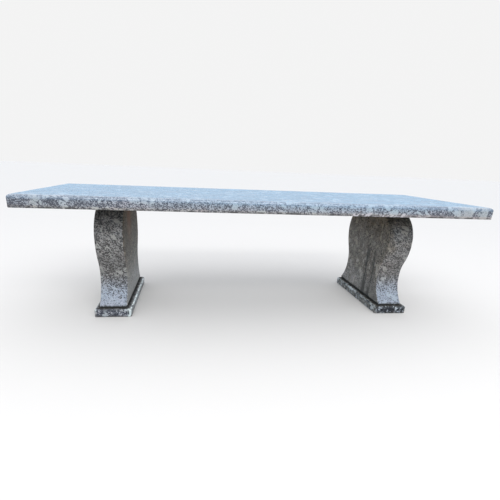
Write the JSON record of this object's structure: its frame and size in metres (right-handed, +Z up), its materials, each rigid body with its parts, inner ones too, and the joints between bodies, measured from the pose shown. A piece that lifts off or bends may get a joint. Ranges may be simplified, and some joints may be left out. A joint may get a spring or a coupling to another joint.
{
  "type": "backless bench",
  "caption": "Backless garden bench: a polished granite seat slab bedded and dowelled on vase-profiled pedestals that stand on low plinths.",
  "frame": {"origin": "on the ground, under the middle of the seat slab", "axes": "+X along the seat, to the right as seen from the front; +Y from the front to the back; +Z up"},
  "size_m": [1.61, 0.52, 0.44],
  "materials": {
    "granite_seat": "polished grey granite with dark mica and pale feldspar",
    "granite_pedestal": "honed grey granite, weather-stained",
    "granite_plinth": "honed coarse-grained granite, soiled",
    "mortar": "matt",
    "dowel_grout": "matt",
    "stainless_steel": "drawn"
  },
  "bodies": {
    "root": {"seat_slab": "granite_seat", "left_pedestal": "granite_pedestal", "left_plinth": "granite_plinth", "left_seat_bed": "mortar", "left_base_bed": "mortar", "left_seat_dowels": "stainless_steel", "left_seat_dowel_grout": "dowel_grout", "left_base_dowels": "stainless_steel", "left_base_dowel_grout": "dowel_grout", "right_pedestal": "granite_pedestal", "right_plinth": "granite_plinth", "right_seat_bed": "mortar", "right_base_bed": "mortar", "right_seat_dowels": "stainless_steel", "right_seat_dowel_grout": "dowel_grout", "right_base_dowels": "stainless_steel", "right_base_dowel_grout": "dowel_grout"}
  },
  "joints": []
}
